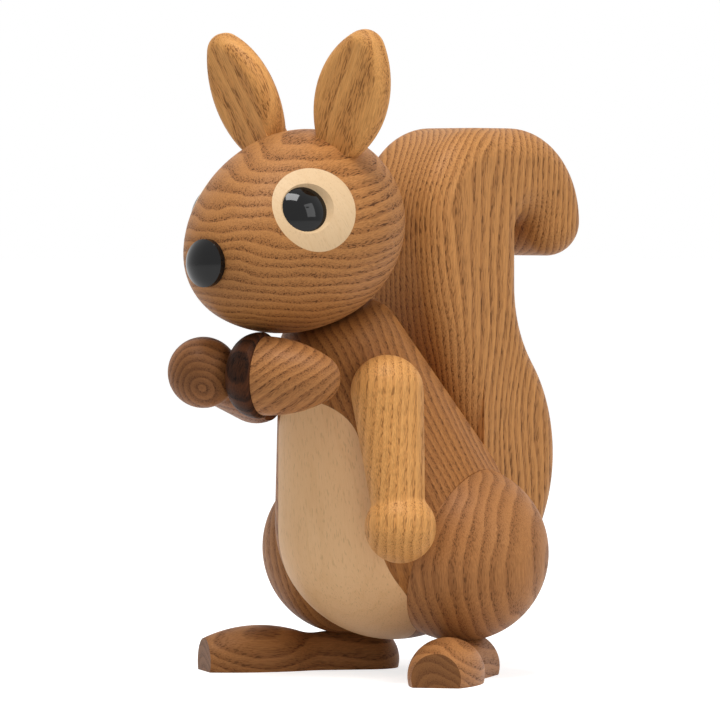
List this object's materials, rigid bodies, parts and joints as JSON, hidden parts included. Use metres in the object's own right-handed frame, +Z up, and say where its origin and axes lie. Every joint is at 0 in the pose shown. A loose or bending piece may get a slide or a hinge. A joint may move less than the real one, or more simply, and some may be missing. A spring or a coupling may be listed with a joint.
{
  "type": "squirrel figurine",
  "caption": "Turned oak squirrel with a maple belly, glossy black eyes and nose, a turning head, swinging arms and an acorn held in its right hand.",
  "frame": {"origin": "on the floor under the middle of the bounding box", "axes": "+Z up, the squirrel faces -Y and its left side is +X"},
  "size_m": [0.0718, 0.1064, 0.1303],
  "materials": {
    "oak": "oiled",
    "oak_head": "oiled",
    "oak_tail": "oiled",
    "oak_thigh": "oiled",
    "oak_foot": "oiled",
    "oak_arm": "oiled",
    "oak_ear": "oiled",
    "oak_nut": "oiled",
    "maple": "oiled",
    "maple_eye": "oiled",
    "smoked_oak": "oiled",
    "beech": "plain",
    "black_eye": "gloss",
    "black_nose": "gloss",
    "rubber": "matt"
  },
  "bodies": {
    "base": {"torso": "oak", "belly_panel": "maple", "tail": "oak_tail", "tail_dowels": "beech", "neck_ring": "rubber", "left_thigh": "oak_thigh", "left_thigh_dowels": "beech", "left_foot": "oak_foot", "left_foot_dowel": "beech", "left_shoulder_ring": "rubber", "right_thigh": "oak_thigh", "right_thigh_dowels": "beech", "right_foot": "oak_foot", "right_foot_dowel": "beech", "right_shoulder_ring": "rubber"},
    "head": {"head": "oak_head", "left_ear": "oak_ear", "right_ear": "oak_ear", "left_eye_disc": "maple_eye", "right_eye_disc": "maple_eye", "left_eye": "black_eye", "right_eye": "black_eye", "nose": "black_nose", "neck_dowel": "beech"},
    "left_arm": {"left_arm": "oak_arm", "left_shoulder_pin": "beech"},
    "right_arm": {"right_arm": "oak_arm", "right_shoulder_pin": "beech", "acorn_cap": "smoked_oak", "acorn_nut": "oak_nut", "acorn_peg": "beech"}
  },
  "joints": [
    {"name": "neck_swivel", "type": "hinge", "parent": "base", "child": "head", "pos_m": [0, -0.01392, 0.07376], "axis": [0, -0.4019, 0.9157], "range_deg": [-135, 135]},
    {"name": "left_shoulder", "type": "hinge", "parent": "base", "child": "left_arm", "pos_m": [0.0178, -0.01685, 0.0584], "axis": [-0.9306, 0.3114, -0.1925], "range_deg": [-5, 50]},
    {"name": "right_shoulder", "type": "hinge", "parent": "base", "child": "right_arm", "pos_m": [-0.0178, -0.01685, 0.0584], "axis": [-0.9306, -0.3114, 0.1925], "range_deg": [-60, 1]}
  ]
}
